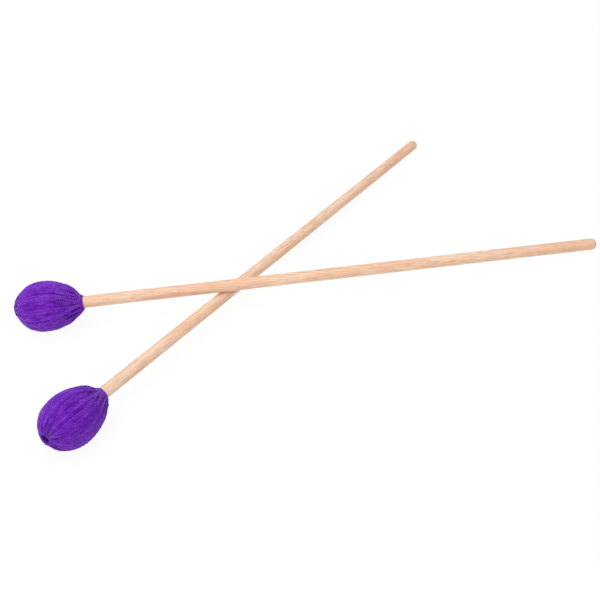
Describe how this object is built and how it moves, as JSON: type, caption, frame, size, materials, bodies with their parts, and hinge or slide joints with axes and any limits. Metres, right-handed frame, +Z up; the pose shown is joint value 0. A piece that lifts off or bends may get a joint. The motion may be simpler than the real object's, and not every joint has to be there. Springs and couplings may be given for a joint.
{
  "type": "marimba mallet pair",
  "caption": "Pair of marimba mallets with yarn-wound heads on plain beech shafts, lying crossed with one resting on the other.",
  "frame": {"origin": "middle of the pair's bounding box, on the surface that the mallets lie on", "axes": "+Z up from that surface, +X along the upper mallet's side of the pair, from the heads towards the upper butt, +Y away from the lower mallet's head"},
  "size_m": [0.3968, 0.3214, 0.0337],
  "materials": {
    "beech": "fine sanded, thin clear seal",
    "core_rubber": "moulded",
    "inner_yarn": "wound yarn, dense",
    "outer_yarn": "soft plied yarn",
    "stitching_yarn": "stitched yarn"
  },
  "bodies": {
    "lower_mallet": {"lower_shaft": "beech", "lower_core": "core_rubber", "lower_inner_winding": "inner_yarn", "lower_outer_winding": "outer_yarn", "lower_crown_stitching": "stitching_yarn", "lower_neck_stitching": "stitching_yarn"},
    "upper_mallet": {"upper_shaft": "beech", "upper_core": "core_rubber", "upper_inner_winding": "inner_yarn", "upper_outer_winding": "outer_yarn", "upper_crown_stitching": "stitching_yarn", "upper_neck_stitching": "stitching_yarn"}
  },
  "joints": [
    {"name": "upper_lift", "type": "slide", "parent": "lower_mallet", "child": "upper_mallet", "axis": [0, 0, 1], "range_m": [0, 0.06]}
  ]
}
